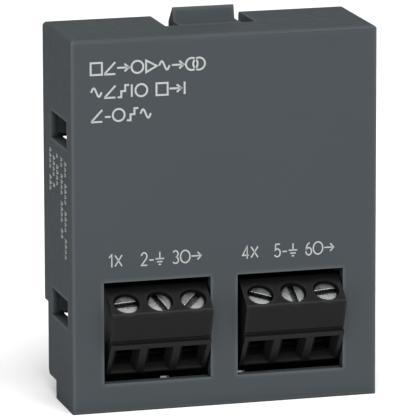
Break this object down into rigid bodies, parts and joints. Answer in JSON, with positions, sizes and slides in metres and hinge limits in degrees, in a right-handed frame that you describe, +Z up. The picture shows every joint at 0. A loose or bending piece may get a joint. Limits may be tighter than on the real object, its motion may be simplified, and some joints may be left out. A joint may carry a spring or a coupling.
{
  "type": "plc output module",
  "caption": "Shallow plug-in controller module: grey box with screw terminal blocks in its front, a socket on its back and a sprung latch tongue in its top.",
  "frame": {"origin": "under the middle of the whole module, on the plane of its bottom face", "axes": "+X to the right seen from the front, +Y from the front face towards the back socket, +Z up towards the latch"},
  "size_m": [0.035, 0.016, 0.0436],
  "materials": {
    "housing_grey": "fine matt moulded texture, dark slate grey",
    "cover_black": "fine matt moulded texture, near black",
    "block_black": "smooth semi-matt moulded polyamide, black",
    "screw_steel": "zinc plated, lightly worn",
    "cage_steel": "zinc plated sheet",
    "bar_tin": "tinned copper alloy strip",
    "contact_gold": "gold flashed spring contact",
    "board_green": "solder-masked glass laminate, dark green",
    "chip_black": "moulded epoxy",
    "ferrite_grey": "sintered ferrite",
    "can_aluminium": "drawn can",
    "resistor_ceramic": "glazed ceramic",
    "crystal_steel": "seam-welded lid",
    "print_grey": "pad-printed light grey marks"
  },
  "bodies": {
    "module": {"front_housing": "housing_grey", "rear_cover": "cover_black", "circuit_board": "board_green", "rear_socket": "block_black", "terminal_block_left": "block_black", "terminal_block_right": "block_black", "socket_contact_1": "contact_gold", "socket_contact_2": "contact_gold", "socket_contact_3": "contact_gold", "socket_contact_4": "contact_gold", "socket_contact_5": "contact_gold", "socket_contact_6": "contact_gold", "socket_contact_7": "contact_gold", "socket_contact_8": "contact_gold", "socket_contact_9": "contact_gold", "socket_contact_10": "contact_gold", "socket_contact_11": "contact_gold", "socket_contact_12": "contact_gold", "current_bar_1": "bar_tin", "current_bar_2": "bar_tin", "current_bar_3": "bar_tin", "current_bar_4": "bar_tin", "current_bar_5": "bar_tin", "current_bar_6": "bar_tin", "isolation_transformer": "ferrite_grey", "input_capacitor": "can_aluminium", "output_capacitor": "can_aluminium", "microcontroller": "chip_black", "voltage_regulator": "chip_black", "signal_isolator": "chip_black", "analogue_converter": "chip_black", "loop_driver_left": "chip_black", "loop_driver_right": "chip_black", "power_inductor": "ferrite_grey", "surge_diode_left": "chip_black", "surge_diode_right": "chip_black", "sense_resistor_left": "resistor_ceramic", "sense_resistor_right": "resistor_ceramic", "clock_crystal": "crystal_steel"},
    "latch": {"latch_tongue": "housing_grey"},
    "screw_1": {"terminal_screw_1": "screw_steel"},
    "cage_1": {"clamp_cage_1": "cage_steel"},
    "screw_2": {"terminal_screw_2": "screw_steel"},
    "cage_2": {"clamp_cage_2": "cage_steel"},
    "screw_3": {"terminal_screw_3": "screw_steel"},
    "cage_3": {"clamp_cage_3": "cage_steel"},
    "screw_4": {"terminal_screw_4": "screw_steel"},
    "cage_4": {"clamp_cage_4": "cage_steel"},
    "screw_5": {"terminal_screw_5": "screw_steel"},
    "cage_5": {"clamp_cage_5": "cage_steel"},
    "screw_6": {"terminal_screw_6": "screw_steel"},
    "cage_6": {"clamp_cage_6": "cage_steel"}
  },
  "joints": [
    {"name": "latch_press", "type": "hinge", "parent": "module", "child": "latch", "pos_m": [0, -0.00005, 0.0415], "axis": [-1, 0, 0], "range_deg": [0, 20], "stiffness_Nm_per_rad": 0.05},
    {"name": "screw_turn_1", "type": "hinge", "parent": "module", "child": "screw_1", "pos_m": [-0.0115, -0.00663, 0.01255], "axis": [0, 0.5736, -0.8192], "range_deg": [0, 1080]},
    {"name": "cage_lift_1", "type": "slide", "parent": "module", "child": "cage_1", "axis": [0, -0.5736, 0.8192], "range_m": [0, 0.0012]},
    {"name": "screw_turn_2", "type": "hinge", "parent": "module", "child": "screw_2", "pos_m": [-0.00769, -0.00663, 0.01255], "axis": [0, 0.5736, -0.8192], "range_deg": [0, 1080]},
    {"name": "cage_lift_2", "type": "slide", "parent": "module", "child": "cage_2", "axis": [0, -0.5736, 0.8192], "range_m": [0, 0.0012]},
    {"name": "screw_turn_3", "type": "hinge", "parent": "module", "child": "screw_3", "pos_m": [-0.00388, -0.00663, 0.01255], "axis": [0, 0.5736, -0.8192], "range_deg": [0, 1080]},
    {"name": "cage_lift_3", "type": "slide", "parent": "module", "child": "cage_3", "axis": [0, -0.5736, 0.8192], "range_m": [0, 0.0012]},
    {"name": "screw_turn_4", "type": "hinge", "parent": "module", "child": "screw_4", "pos_m": [0.00388, -0.00663, 0.01255], "axis": [0, 0.5736, -0.8192], "range_deg": [0, 1080]},
    {"name": "cage_lift_4", "type": "slide", "parent": "module", "child": "cage_4", "axis": [0, -0.5736, 0.8192], "range_m": [0, 0.0012]},
    {"name": "screw_turn_5", "type": "hinge", "parent": "module", "child": "screw_5", "pos_m": [0.00769, -0.00663, 0.01255], "axis": [0, 0.5736, -0.8192], "range_deg": [0, 1080]},
    {"name": "cage_lift_5", "type": "slide", "parent": "module", "child": "cage_5", "axis": [0, -0.5736, 0.8192], "range_m": [0, 0.0012]},
    {"name": "screw_turn_6", "type": "hinge", "parent": "module", "child": "screw_6", "pos_m": [0.0115, -0.00663, 0.01255], "axis": [0, 0.5736, -0.8192], "range_deg": [0, 1080]},
    {"name": "cage_lift_6", "type": "slide", "parent": "module", "child": "cage_6", "axis": [0, -0.5736, 0.8192], "range_m": [0, 0.0012]}
  ],
  "couplings": [
    {"joint": "screw_turn_1", "follows": "cage_lift_1", "rad_per_m": 15708},
    {"joint": "screw_turn_2", "follows": "cage_lift_2", "rad_per_m": 15708},
    {"joint": "screw_turn_3", "follows": "cage_lift_3", "rad_per_m": 15708},
    {"joint": "screw_turn_4", "follows": "cage_lift_4", "rad_per_m": 15708},
    {"joint": "screw_turn_5", "follows": "cage_lift_5", "rad_per_m": 15708},
    {"joint": "screw_turn_6", "follows": "cage_lift_6", "rad_per_m": 15708}
  ]
}
